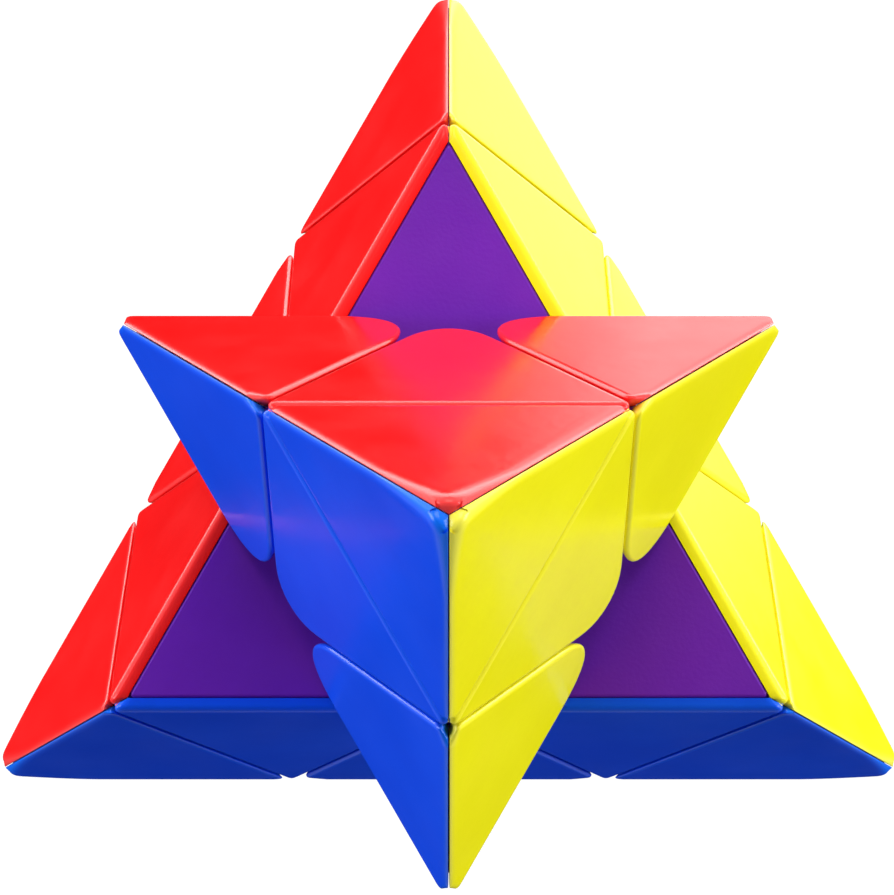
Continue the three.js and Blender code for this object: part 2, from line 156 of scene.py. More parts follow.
@dataclass
class Solid:
    """A closed mesh in millimetres that is cut, rounded and joined until it is a finished piece."""

    mesh: bmesh.types.BMesh

    @classmethod
    def between(cls, planes: Iterable[HalfSpace], stock: float = 400.0) -> "Solid":
        """Cuts a block down to the convex solid inside some half-spaces.

        Args:
            planes: the half-spaces.
            stock: side of the block that is cut down.

        Returns:
            The solid.
        """
        solid = cls(bmesh.new())
        bmesh.ops.create_cube(solid.mesh, size=stock)
        for plane in planes:
            solid.trim(plane)
        return solid

    @classmethod
    def turned(cls, outline: Sequence[tuple[float, float]], segments: int = 48) -> "Solid":
        """Spins an outline of (radius, height) points, which starts and ends on the axis, round +Z.

        Args:
            outline: the points, in order.
            segments: steps round the full turn.

        Returns:
            The solid.
        """
        mesh = bmesh.new()
        verts = [mesh.verts.new((radius, 0.0, height)) for radius, height in outline]
        edges = [mesh.edges.new(pair) for pair in zip(verts, verts[1:])]
        bmesh.ops.spin(mesh, geom=verts + edges, cent=(0, 0, 0), axis=(0, 0, 1), angle=math.tau,
                       steps=segments, use_merge=True)
        return cls(mesh).mended()

    @classmethod
    def ball(cls, radius: float, segments: int = 64) -> "Solid":
        """A ball about the middle of the core."""
        mesh = bmesh.new()
        bmesh.ops.create_uvsphere(mesh, u_segments=segments, v_segments=segments // 2, radius=radius)
        return cls(mesh)

    def mended(self) -> "Solid":
        """Merges doubled points and turns every face outwards."""
        bmesh.ops.remove_doubles(self.mesh, verts=self.mesh.verts[:], dist=HAIR)
        bmesh.ops.recalc_face_normals(self.mesh, faces=self.mesh.faces[:])
        return self

    def geometry(self) -> list:
        """All vertices, edges and faces."""
        return self.mesh.verts[:] + self.mesh.edges[:] + self.mesh.faces[:]

    def trim(self, plane: HalfSpace) -> "Solid":
        """Cuts off what lies outside a half-space and closes the cut."""
        cut = bmesh.ops.bisect_plane(self.mesh, geom=self.geometry(), dist=HAIR / 10, plane_no=plane.normal,
                                     plane_co=plane.normal * plane.offset, clear_outer=True)
        edges = [part for part in cut["geom_cut"] if isinstance(part, bmesh.types.BMEdge)]
        if edges:
            bmesh.ops.contextual_create(self.mesh, geom=edges)
        return self

    def score(self, plane: HalfSpace) -> "Solid":
        """Adds a loop of edges where a plane crosses the mesh, and cuts nothing off."""
        bmesh.ops.bisect_plane(self.mesh, geom=self.geometry(), dist=HAIR, plane_no=plane.normal,
                               plane_co=plane.normal * plane.offset)
        return self

    def moved(self, matrix: Matrix) -> "Solid":
        """Moves the solid by a matrix."""
        bmesh.ops.transform(self.mesh, matrix=matrix, verts=self.mesh.verts[:])
        return self

    def rounded(self, width_of: Callable[[bmesh.types.BMEdge], float], segments: int) -> "Solid":
        """Rounds edges, each by its own width, in one go so that the corners blend.

        Args:
            width_of: tells how far an edge's rounding reaches over the faces beside it.
            segments: steps across each rounding.

        Returns:
            This solid, with its edges rounded.
        """
        weights = self.mesh.edges.layers.float.new("bevel_weight_edge")
        widths = [width_of(edge) for edge in self.mesh.edges]
        widest = max(widths)
        for edge, width in zip(self.mesh.edges, widths):
            edge[weights] = width / widest
        obj = self.scratch_object()
        bevel = obj.modifiers.new("round", "BEVEL")
        bevel.limit_method = "WEIGHT"
        bevel.width = widest
        bevel.segments = segments
        bevel.profile = 0.5
        bevel.use_clamp_overlap = False
        self.take(obj)
        self.mesh.edges.layers.float.remove(self.mesh.edges.layers.float["bevel_weight_edge"])
        return self.mended()

    def combined(self, tool: "Solid", operation: str) -> "Solid":
        """Joins this solid to another or cuts the other out of it.

        Args:
            tool: the other solid, which is used up.
            operation: UNION, DIFFERENCE or INTERSECT.

        Returns:
            This solid, changed.
        """
        obj, other = self.scratch_object(), tool.scratch_object()
        boolean = obj.modifiers.new("combine", "BOOLEAN")
        boolean.solver = "EXACT"
        boolean.operation = operation
        boolean.object = other
        self.take(obj)
        discard(other)
        return self

    def plus(self, tool: "Solid") -> "Solid":
        """Joined to another solid."""
        return self.combined(tool, "UNION")

    def minus(self, tool: "Solid") -> "Solid":
        """With another solid cut out of it."""
        return self.combined(tool, "DIFFERENCE")

    def common(self, tool: "Solid") -> "Solid":
        """What this solid and another share."""
        return self.combined(tool, "INTERSECT")

    def scratch_object(self) -> bpy.types.Object:
        """A temporary object that holds this mesh, for a modifier to work on."""
        data = bpy.data.meshes.new("scratch")
        self.mesh.to_mesh(data)
        obj = bpy.data.objects.new("scratch", data)
        bpy.context.scene.collection.objects.link(obj)
        return obj

    def take(self, obj: bpy.types.Object) -> None:
        """Takes the mesh that an object's modifiers make, and removes the object."""
        graph = bpy.context.evaluated_depsgraph_get()
        made = bpy.data.meshes.new_from_object(obj.evaluated_get(graph))
        self.mesh.clear()
        self.mesh.from_mesh(made)
        bpy.data.meshes.remove(made)
        discard(obj)

    def finished(self, name: str, crease: float = 50.0) -> bpy.types.Mesh:
        """The mesh data of the finished shape, smooth apart from its sharp edges.

        Args:
            name: name of the mesh data.
            crease: angle in degrees past which an edge stays sharp.

        Returns:
            The mesh data, still in millimetres.
        """
        self.mended()
        for face in self.mesh.faces:
            face.smooth = True
        for edge in self.mesh.edges:
            edge.smooth = edge.calc_face_angle(0.0) < math.radians(crease)
        data = bpy.data.meshes.new(name)
        self.mesh.to_mesh(data)
        self.mesh.free()
        return data


def discard(obj: bpy.types.Object) -> None:
    """Removes a temporary object and its mesh."""
    data = obj.data
    bpy.data.objects.remove(obj)
    bpy.data.meshes.remove(data)


@dataclass(frozen=True)
class Lattice:
    """The planes and points of the solved puzzle, all worked out from how far its faces are from the core."""

    face: float
    gap: float = 0.3  # slot between neighbouring pieces
    seam: float = 0.1  # between two caps that meet on a ridge
    thickness: float = 1.2  # of a cap
    clearance: float = 0.1  # between a cap and its shell
    wall: float = 1.8  # of a shell
    lug_radius: float = 2.9  # of the circle through a lug's three corners
    lug_length: float = 2.4  # past the back of a cap
    lug_clearance: float = 0.15  # on each side of a lug in its pocket
    pocket_overcut: float = 0.2  # of a pocket past the inside of a shell's wall

    @property
    def corner(self) -> float:
        """From the core to a sharp corner."""
        return 3 * self.face

    @property
    def tip_cut(self) -> float:
        """From the core to the plane under a tip."""
        return 5 * self.face / 3

    @property
    def layer_cut(self) -> float:
        """From the core to the plane under a layer."""
        return self.face / 3

    @property
    def side(self) -> float:
        """Side of one small triangle."""
        return 4 * self.face / math.sqrt(2 / 3) / 3

    def corner_point(self, corner: Corner) -> Vector:
        """A sharp corner."""
        return corner.axis * self.corner

    def face_centre(self, corner: Corner) -> Vector:
        """The middle of the face across from a corner."""
        return corner.axis * -self.face

    def ridge_point(self, start: Corner, end: Corner) -> Vector:
        """The point a third of the way along the ridge between two corners."""
        return self.corner_point(start).lerp(self.corner_point(end), 1 / 3)

    def cap_front(self, face: Corner) -> HalfSpace:
        """The outside plane of the face across from a corner."""
        return above(face, -self.face)

    def cap_back(self, face: Corner) -> HalfSpace:
        """The plane where that face's caps end."""
        return below(face, self.thickness - self.face)

    def shell_face(self, face: Corner, inset: float = 0.0) -> HalfSpace:
        """The plane of a shell behind that face's caps, moved in by an inset."""
        return above(face, self.thickness + self.clearance - self.face + inset)

    def mitre(self, face: Corner, other: Corner) -> HalfSpace:
        """One face's side of the mitre at the ridge that it shares with another face."""
        return HalfSpace((face.axis - other.axis).normalized(), -self.seam / 2)

    def prism(self, at: Vector, towards: Vector, face: Corner, radius: float, start: float,
              end: float) -> Solid:
        """A three-sided prism that runs straight inwards from a face.

        Args:
            at: its middle on the face.
            towards: point on the face that one of its corners looks to.
            face: the corner across from the face.
            radius: of the circle through its corners.
            start: depth under the face where it starts.
            end: depth under the face where it ends.

        Returns:
            The prism.
        """
        solid = Solid(bmesh.new())
        bmesh.ops.create_cone(solid.mesh, cap_ends=True, segments=3, radius1=radius, radius2=radius,
                              depth=end - start)
        x = (towards - at).normalized()
        upright = Matrix((x, face.axis.cross(x), face.axis)).transposed().to_4x4()
        upright.translation = at + face.axis * (start + end) / 2
        corner_to_x = Matrix.Rotation(-math.pi / 2, 4, "Z")
        return solid.moved(upright @ corner_to_x)

    def lug(self, face: Corner, at: Vector, towards: Vector) -> Solid:
        """The lug under a cap, from the middle of its thickness."""
        end = self.thickness + self.lug_length
        return self.prism(at, towards, face, self.lug_radius, self.thickness / 2, end)

    def pocket(self, face: Corner, at: Vector, towards: Vector) -> Solid:
        """What is cut out of a shell for a cap's lug."""
        end = self.thickness + self.clearance + self.wall + self.pocket_overcut
        return self.prism(at, towards, face, self.lug_radius + 2 * self.lug_clearance, self.thickness, end)


@dataclass(frozen=True)
class Bound:
    """A plane with the depth under it from which a rounding starts, and how much it counts."""

    plane: HalfSpace
    reach: float
    weight: float = 1.0

    def shortfall(self, point: Vector) -> float:
        """How far a point is within reach of the plane."""
        depth = self.plane.offset - self.plane.normal.dot(point)
        return max(self.reach - depth, 0.0)

    def share(self, point: Vector) -> float:
        """The same as a share of the reach, times the weight."""
        return self.weight * self.shortfall(point) / self.reach


def solve(rows: Sequence[Sequence[float]], values: Sequence[float]) -> list[float]:
    """Solves one, two or three equations: the rows times the result are the values."""
    if len(values) == 1:
        return [values[0] / rows[0][0]]
    return list(Matrix(rows).inverted() @ Vector(values))


def eased(share: float) -> float:
    """A share from 0 to 1 that starts and ends gently."""
    return share * share * (3 - 2 * share)


@dataclass(frozen=True)
class Softening:
    """How the ridges and corners of the whole pyramid are rounded, tighter along a ridge than at a corner."""

    lattice: Lattice
    ridge_reach: float = 1.7  # depth under a face from which its neighbour starts to bend, along a ridge
    corner_reach: float = 3.9  # the same at a corner
    ridge_fullness: float = 3.4  # 2 is nearly a circular rounding, and more is flatter with quicker shoulders
    corner_fullness: float = 2.1
    halvings: int = 24  # steps that home in on the rounded surface
    polished: float = 0.3  # share of the ridge's reach by which a point moves where it takes the lighter edge colour in full, which is partly wear and partly a painted highlight
    fade: float = 12.0  # along an axis, from the sharp corner to where its extra rounding has died away

    def ridge_share(self, point: Vector) -> float:
        """0 at a corner of the pyramid and 1 where its extra rounding has died away."""
        nearest = max(corner.axis.dot(point) for corner in Corner)
        return eased(min(max((self.lattice.corner - nearest) / self.fade, 0.0), 1.0))

    def reach_at(self, point: Vector) -> float:
        """Reach of the rounding near a point."""
        return self.corner_reach + (self.ridge_reach - self.corner_reach) * self.ridge_share(point)

    def bounds_at(self, point: Vector, slots: Sequence[HalfSpace], end_reach: float) -> list[Bound]:
        """The planes that a point is within reach of: faces of the pyramid and, near a ridge, slots.

        Args:
            point: a point of the sharp piece.
            slots: the slots that bound the piece.
            end_reach: depth under a slot from which a ridge's end is rounded.

        Returns:
            One bound for each plane.
        """
        reach = self.reach_at(point)
        if end_reach > reach:
            depth = min(slot.offset - slot.normal.dot(point) for slot in slots)
            reach += (end_reach - reach) * max(1 - depth / end_reach, 0.0)
        bounds = [Bound(self.lattice.cap_front(corner), reach) for corner in Corner]
        near = sorted((bound for bound in bounds if bound.share(point) > 0), key=lambda b: -b.share(point))
        if len(near) < 2:
            return near
        weight = eased(near[1].share(point))
        ends = (Bound(slot, end_reach, weight) for slot in slots)
        return near + [bound for bound in ends if bound.share(point) > 0]

    def inner_point(self, point: Vector, bounds: Sequence[Bound]) -> Vector:
        """The nearest point to another that is out of reach of every bound."""
        for count in range(1, min(len(bounds), 3) + 1):
            for chosen in combinations(bounds, count):
                normals = [bound.plane.normal for bound in chosen]
                steps = solve([[a.dot(b) for b in normals] for a in normals],
                              [bound.shortfall(point) for bound in chosen])
                landed = point - sum((normal * step for normal, step in zip(normals, steps)), Vector())
                if min(steps) >= 0 and all(bound.shortfall(landed) < HAIR for bound in bounds):
                    return landed
        return point

    def settle(self, point: Vector, slots: Sequence[HalfSpace], end_reach: float) -> Vector:
        """Where a point of the sharp piece goes: as deep under the rounded surface as it was under a plane.

        Args:
            point: the point.
            slots: the slots that bound the piece.
            end_reach: depth under a slot from which a ridge's end is rounded.

        Returns:
            The point's new place.
        """
        bounds = self.bounds_at(point, slots, end_reach)
        if len(bounds) < 2:
            return point
        end = max((bound.share(point) for bound in bounds if bound.plane in slots), default=0.0)
        sharpness = self.ridge_share(point) * (1 - end)
        power = self.corner_fullness + (self.ridge_fullness - self.corner_fullness) * sharpness

        def level(place: Vector) -> float:
            """1 on the rounded surface and less inside it."""
            return sum(bound.share(place) ** power for bound in bounds) ** (1 / power)

        wanted = max(bound.share(point) for bound in bounds)
        inner = self.inner_point(point, bounds)
        low, high = 0.0, 1.0
        for _ in range(self.halvings):
            middle = (low + high) / 2
            if level(point.lerp(inner, middle)) > wanted:
                low = middle
            else:
                high = middle
        return point.lerp(inner, high)

    def apply(self, solid: Solid, slots: Sequence[HalfSpace], end_reach: float) -> Solid:
        """Draws every point of a solid in to the rounded shape and marks its bends for the lighter edge
        colour, partly handling wear and partly a painted highlight.

        Args:
            solid: the sharp solid, with a "rim" layer on its vertices.
            slots: the slots that bound it.
            end_reach: depth under a slot from which a ridge's end is rounded.

        Returns:
            The solid.
        """
        layer = solid.mesh.verts.layers.float["rim"]
        for vert in solid.mesh.verts:
            settled = self.settle(vert.co, slots, end_reach)
            # How far a point bends sets how much lighter edge colour it takes: partly wear, partly a painted
            # highlight along the ridges
            bend = (settled - vert.co).length / (self.polished * self.ridge_reach)
            vert[layer] = max(vert[layer], min(bend, 1.0))
            vert.co = settled
        return solid


@dataclass(frozen=True)
class RoundCorner:
    """A 60 degree corner of a cap that is rounded in the plane of its face."""

    near: Vector
    radius: float


@dataclass
class CapMaker:
    """Makes the coloured caps: plates with rounded rims that follow the pyramid's soft ridges."""

    lattice: Lattice
    softening: Softening
    rim: float = 0.68  # reach of the rounding along a slot
    seam_rim: float = 0.12  # reach of the rounding along a ridge's seam
    rim_steps: int = 4
    rim_depth: float = 1.5  # depth that still counts as the rim, in reaches: the plate's back is deeper
    rim_wear_and_highlight: float = 0.2  # how much of the lighter edge colour the rims take, next to 1 for the ridges: partly wear, partly a painted highlight
    ridge_steps: int = 16
    ridge_width: float = 1.15  # how far in from a ridge the loops go, in reaches of the corners' rounding
    ridge_crowding: float = 1.5  # 1 spaces the loops evenly, and more crowds them to the ridge
    corner_steps: int = 14
    least_steps: int = 5  # round a corner in the plane of the face
    steps_per_mm: float = 2.5  # of that corner's radius
    end_steps: int = 7

    def make(self, face: Corner, planes: Sequence[HalfSpace], mitres: Sequence[HalfSpace],
             end_reach: float, corners: Sequence[RoundCorner] = ()) -> Solid:
        """Shapes one cap.

        Args:
            face: the corner across from the cap's face.
            planes: the slots that bound the cap.
            mitres: the mitres that bound it on its ridges.
            end_reach: how far from a slot the ends of the cap's ridges are rounded.
            corners: the cap's corners that are rounded in the plane of the face.

        Returns:
            The cap, without its lug.
        """
        front, back = self.lattice.cap_front(face), self.lattice.cap_back(face)
        solid = Solid.between([front, back, *planes])
        for corner in corners:
            self.round_corner(solid, front, back, corner)
        for mitre in mitres:
            solid.trim(mitre)

        def reach(edge: bmesh.types.BMEdge) -> float:
            """How far an edge of the plate is rounded."""
            if not front.holds_edge(edge):
                return 0.0
            return self.seam_rim if any(mitre.holds_edge(edge) for mitre in mitres) else self.rim

        solid.rounded(reach, self.rim_steps)
        self.mark_rim_wear_and_highlight(solid, front)
        self.score_ridges(solid, face)
        self.score_slots(solid, planes, end_reach)
        return self.softening.apply(solid, planes, end_reach)

    def round_corner(self, solid: Solid, front: HalfSpace, back: HalfSpace, corner: RoundCorner) -> None:
        """Rounds an upright corner of a plate."""
        upright = [edge for edge in solid.mesh.edges
                   if any(front.touches(v) for v in edge.verts) and any(back.touches(v) for v in edge.verts)]
        nearest = min(upright, key=lambda edge: min((v.co - corner.near).length for v in edge.verts))
        steps = max(self.least_steps, round(self.steps_per_mm * corner.radius))
        start = corner.radius * math.sqrt(3)  # where the arc leaves the sides of a 60 degree corner
        bmesh.ops.bevel(solid.mesh, geom=[nearest], offset=start, offset_type="OFFSET", segments=steps,
                        profile=0.5, affect="EDGES", material=-1, clamp_overlap=False)

    def mark_rim_wear_and_highlight(self, solid: Solid, front: HalfSpace) -> None:
        """Marks the points of the rounded rim for the lighter edge colour, partly handling wear and partly a
        painted highlight.
        """
        layer = solid.mesh.verts.layers.float.new("rim")
        for vert in solid.mesh.verts:
            depth = front.offset - front.normal.dot(vert.co)
            on_rim = HAIR < depth < self.rim_depth * self.rim
            vert[layer] = self.rim_wear_and_highlight if on_rim else 0.0

    def score_ridges(self, solid: Solid, face: Corner) -> None:
        """Adds the loops that bend round the ridges, and the rows that bend round the corners."""
        full = self.ridge_width * self.softening.corner_reach
        distances = [full * (step / self.ridge_steps) ** self.ridge_crowding
                     for step in range(1, self.ridge_steps + 1)]
        for other in others(face):
            from_ridge = (other.axis + face.axis / 3).normalized()  # in the face, square to their ridge
            ridge = from_ridge.dot(self.lattice.ridge_point(*others(face, other)))
            for distance in distances:
                solid.score(HalfSpace(from_ridge, ridge + distance))
        nearest = max(others(face), key=lambda c: max(c.axis.dot(v.co) for v in solid.mesh.verts))
        for i in range(1, self.corner_steps):
            down = self.softening.fade * i / self.corner_steps
            solid.score(HalfSpace(nearest.axis, self.lattice.corner - down))

    def score_slots(self, solid: Solid, slots: Sequence[HalfSpace], end_reach: float) -> None:
        """Adds rows beside the slots, which bend round the ends of the ridges."""
        for slot in slots:
            for step in range(1, self.end_steps + 1):
                depth = end_reach * step / self.end_steps
                solid.score(HalfSpace(slot.normal, slot.offset - depth))


@dataclass(frozen=True)
class Recipe:
    """A node tree that is being written, with short ways to add the nodes that the finishes share."""

    tree: bpy.types.NodeTree

    def node(self, kind: str, **settings: object) -> bpy.types.Node:
        """Adds a node and sets some of its inputs, where From_Min stands for From Min."""
        made = self.tree.nodes.new(kind)
        for name, value in settings.items():
            made.inputs[name.replace("_", " ")].default_value = value
        return made

    def link(self, source: bpy.types.NodeSocket, target: bpy.types.NodeSocket) -> None:
        """Joins an output to an input."""
        self.tree.links.new(source, target)

    def noise(self, scale: float, detail: float, rough: float = 0.5) -> bpy.types.NodeSocket:
        """Noise over the piece's own coordinates.

        Args:
            scale: fineness, per metre.
            detail: number of finer layers.
            rough: strength of the finer layers.

        Returns:
            The noise, from 0 to 1.
        """
        made = self.node("ShaderNodeTexNoise", Scale=scale, Detail=detail, Roughness=rough)
        self.link(self.node("ShaderNodeTexCoord").outputs["Object"], made.inputs["Vector"])
        return made.outputs["Fac"]

    def spread(self, source: bpy.types.NodeSocket, start: float, end: float, low: float, high: float,
               soft: bool = False) -> bpy.types.NodeSocket:
        """Maps a value from one range to another.

        Args:
            source: the value.
            start: where the range that it comes from starts.
            end: where that range ends.
            low: what start becomes.
            high: what end becomes.
            soft: whether the two ends ease in and out.

        Returns:
            The mapped value.
        """
        made = self.node("ShaderNodeMapRange", From_Min=start, From_Max=end, To_Min=low, To_Max=high)
        if soft:
            made.interpolation_type = "SMOOTHSTEP"
        self.link(source, made.inputs["Value"])
        return made.outputs["Result"]

    def blend(self, factor: bpy.types.NodeSocket, first: object, second: object) -> bpy.types.NodeSocket:
        """Blends two colours, each a plain one or a socket, by a factor."""
        made = self.node("ShaderNodeMix")
        made.data_type = "RGBA"
        self.link(factor, made.inputs["Factor"])
        colours = [socket for socket in made.inputs if socket.type == "RGBA"]
        for socket, value in zip(colours, (first, second)):
            if isinstance(value, tuple):
                socket.default_value = (*value, 1.0)
            else:
                self.link(value, socket)
        return next(socket for socket in made.outputs if socket.type == "RGBA")

    def bump(self, height: bpy.types.NodeSocket, strength: float, distance: float) -> bpy.types.NodeSocket:
        """Normals that follow a height, with the relief's depth in metres."""
        made = self.node("ShaderNodeBump", Strength=strength, Distance=distance)
        self.link(height, made.inputs["Height"])
        return made.outputs["Normal"]


def blank_material(name: str) -> tuple[bpy.types.Material, Recipe, bpy.types.NodeInputs]:
    """Makes a material, and gives its recipe and its shader's inputs with it."""
    material = bpy.data.materials.new(name)
    material.use_nodes = True
    return material, Recipe(material.node_tree), material.node_tree.nodes["Principled BSDF"].inputs


@dataclass(frozen=True)
class Finish:
    """A moulded plastic: its colour, its cloudy depth, its polish and its lighter edges, partly rubbed wear
    and partly a painted highlight.
    """

    name: str
    slot: str
    colour: tuple[float, float, float]
    deep: tuple[float, float, float]
    # the lighter edge colour: partly rubbed wear, partly a painted highlight
    rubbed_and_highlight: tuple[float, float, float]
    roughness: float = 0.2
    haze: float = 0.1  # how much the roughness varies over a piece
    texture: float = 0.03  # strength of the fine surface texture
    grain: float = 900.0  # fineness of the texture, per metre
    relief: float = 0.0004  # depth of the texture, in metres
    clouds: float = 55.0  # fineness of the cloudy depth, per metre
    smudges: float = 140.0  # fineness of the smudges that dull the polish, per metre
    wear_and_highlight: float = 0.7  # how far the colour goes to the lighter edge one, partly wear and partly a painted highlight
    refraction: float = 1.47
    specular: float = 0.3  # 0.5 is the full mirror strength of the refraction

    def material(self) -> bpy.types.Material:
        """Builds the node material."""
        material, recipe, inputs = blank_material(self.name)
        inputs["IOR"].default_value = self.refraction
        inputs["Specular IOR Level"].default_value = self.specular

        # Noise seldom strays far from its middle, so a part of its range is stretched to the whole
        cloudy = recipe.spread(recipe.noise(self.clouds, 3.0), 0.35, 0.7, 0.0, 1.0)
        # The rim layer blends in the lighter edge colour on rims and ridge bends: partly rubbed wear, partly
        # a painted highlight
        rim = recipe.node("ShaderNodeAttribute")
        rim.attribute_name = "rim"
        worn_and_highlit = recipe.spread(rim.outputs["Fac"], 0.0, 1.0, 0.0, self.wear_and_highlight)
        recipe.link(recipe.blend(worn_and_highlit, recipe.blend(cloudy, self.deep, self.colour), self.rubbed_and_highlight),
                    inputs["Base Color"])

        low, high = self.roughness - self.haze / 2, self.roughness + self.haze / 2
        smudged = recipe.noise(self.smudges, 5.0, 0.6)
        recipe.link(recipe.spread(smudged, 0.3, 0.7, low, high), inputs["Roughness"])
        recipe.link(recipe.bump(recipe.noise(self.grain, 2.0), self.texture, self.relief), inputs["Normal"])
        return material


@dataclass(frozen=True)
class Metal:
    """A drawn or plated steel, with fine draw lines and dull patches."""

    name: str
    slot: str
    colour: tuple[float, float, float]
    roughness: float
    polished: float = 0.08  # how much smoother the brightest patches are
    dulled: float = 0.15  # how much rougher the dullest patches are
    grain: float = 2200.0  # fineness of the lines, per metre
    texture: float = 0.1  # strength of the lines
    relief: float = 0.0001  # depth of the lines, in metres

    def material(self) -> bpy.types.Material:
        """Builds the node material."""
        material, recipe, inputs = blank_material(self.name)
        inputs["Base Color"].default_value = (*self.colour, 1.0)
        inputs["Metallic"].default_value = 1.0
        lines = recipe.noise(self.grain, 4.0)
        low, high = self.roughness - self.polished, self.roughness + self.dulled
        recipe.link(recipe.spread(lines, 0.0, 1.0, low, high), inputs["Roughness"])
        recipe.link(recipe.bump(lines, self.texture, self.relief), inputs["Normal"])
        return material


# Each edge colour is lighter than its base: partly rubbed wear, partly a painted highlight on the ridges and
# rims
FINISHES = {
    "red": Finish("red_gloss", "red_plastic",
                  colour=(0.90, 0.010, 0.010), deep=(0.84, 0.007, 0.008), rubbed_and_highlight=(1.0, 0.08, 0.08)),
    "yellow": Finish("yellow_gloss", "yellow_plastic",
                     colour=(0.95, 0.86, 0.006), deep=(0.89, 0.79, 0.004), rubbed_and_highlight=(1.0, 0.93, 0.12)),
    "blue": Finish("blue_gloss", "blue_plastic",
                   colour=(0.008, 0.080, 0.86), deep=(0.006, 0.066, 0.78), rubbed_and_highlight=(0.006, 0.2, 1.0)),
    "green": Finish("green_gloss", "green_plastic",
                    colour=(0.01, 0.42, 0.06), deep=(0.006, 0.35, 0.045), rubbed_and_highlight=(0.04, 0.55, 0.12)),
    "purple": Finish("purple_satin", "body_plastic",
                     colour=(0.160, 0.019, 0.46), deep=(0.13, 0.014, 0.39), rubbed_and_highlight=(0.24, 0.045, 0.6),
                     roughness=0.34, texture=0.05, grain=2600.0),
    "core": Finish("core_black", "core_plastic",
                   colour=(0.035, 0.035, 0.04), deep=(0.02, 0.02, 0.023), rubbed_and_highlight=(0.07, 0.07, 0.08),
                   roughness=0.5, texture=0.2, grain=2600.0),
}
SCREW_STEEL = Metal("zinc_plated_steel", "screw_steel", (0.62, 0.63, 0.65), 0.28)
SPRING_STEEL = Metal("drawn_spring_steel", "spring_steel", (0.56, 0.57, 0.60), 0.3)


@dataclass(frozen=True)
class ShellRounding:
    """How far the edges of a shell are rounded: where two of its outer faces meet, and elsewhere."""

    ridge: float = 0.7
    edge: float = 0.3
    steps: int = 3

    def apply(self, body: Solid, faces: Sequence[HalfSpace]) -> Solid:
        """Rounds the edges of a shell.

        Args:
            body: the shell, still solid.
            faces: its outer faces.

        Returns:
            The same shell.
        """

        def width_of(edge: bmesh.types.BMEdge) -> float:
            """How far an edge of the shell is rounded."""
            on_ridge = sum(face.holds_edge(edge) for face in faces) == 2
            return self.ridge if on_ridge else self.edge

        return body.rounded(width_of, self.steps)


@dataclass
class Workshop:
    """Places copies of the finished shapes, dresses them and fixes them to the frame's bodies."""

    turn: float = math.radians(-60)  # of the top layer from solved, seen from above
    materials: dict[str, bpy.types.Material] = field(default_factory=dict)

    def place(self, data: bpy.types.Mesh, name: str, node: str, body: str, finish: Finish | Metal,
              matrix: Matrix) -> bpy.types.Object:
        """Makes one piece from a finished shape.

        Args:
            data: the shape's mesh data, in millimetres.
            name: the piece's name.
            node: the part that it stands for in the frame.
            body: the body that it rides on.
            finish: what it is made of.
            matrix: where the shape goes in the solved puzzle.

        Returns:
            The piece.
        """
        if body in ("top_layer", "tip_top"):
            matrix = Matrix.Rotation(self.turn, 4, "Z") @ matrix
        mesh = data.copy()
        mesh.name = name
        mesh.transform(Matrix.Scale(MM, 4) @ matrix)
        if finish.name not in self.materials:
            self.materials[finish.name] = finish.material()
        mesh.materials.append(self.materials[finish.name])
        piece = bpy.data.objects.new(name, mesh)
        bpy.context.scene.collection.objects.link(piece)
        shading = piece.modifiers.new("even_shading", "WEIGHTED_NORMAL")
        shading.keep_sharp = True
        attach(piece, body)
        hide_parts(node)
        LOG.info("%s rides on %s, %d faces", name, body, len(mesh.polygons))
        return piece


